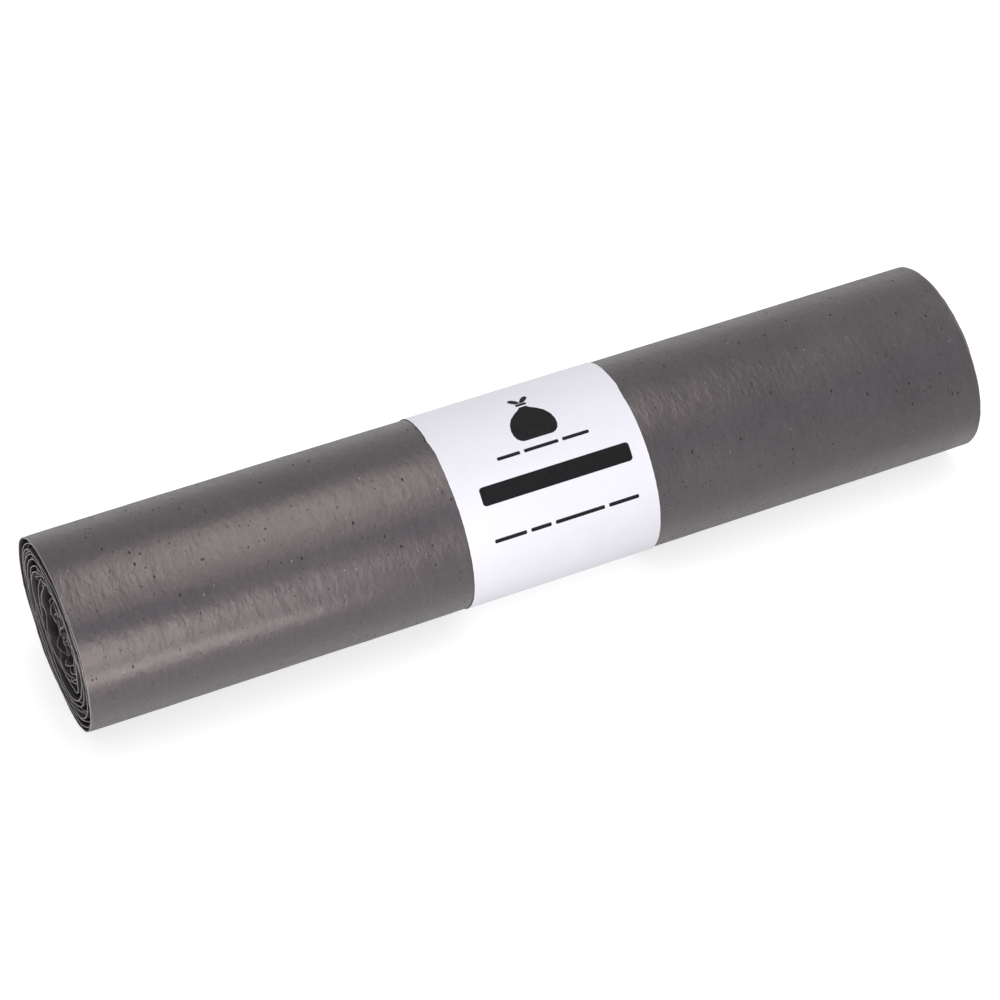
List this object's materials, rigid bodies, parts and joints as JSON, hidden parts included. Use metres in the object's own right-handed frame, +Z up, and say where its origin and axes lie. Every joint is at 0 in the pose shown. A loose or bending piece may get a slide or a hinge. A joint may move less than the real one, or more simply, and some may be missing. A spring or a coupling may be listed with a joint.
{
  "type": "roll of bin bags",
  "caption": "Coreless roll of grey recycled polythene bin bags, lying on its side, with a plain white paper band round its middle.",
  "frame": {"origin": "on the ground under the middle of the whole roll", "axes": "+X along the roll, towards the end where the inner turns stand out; +Z up from the flat that the roll lies on"},
  "size_m": [0.3588, 0.0746, 0.0734],
  "materials": {
    "film": "satin",
    "paper": "matte"
  },
  "bodies": {
    "root": {"bag_roll": "film", "paper_band": "paper"}
  },
  "joints": []
}
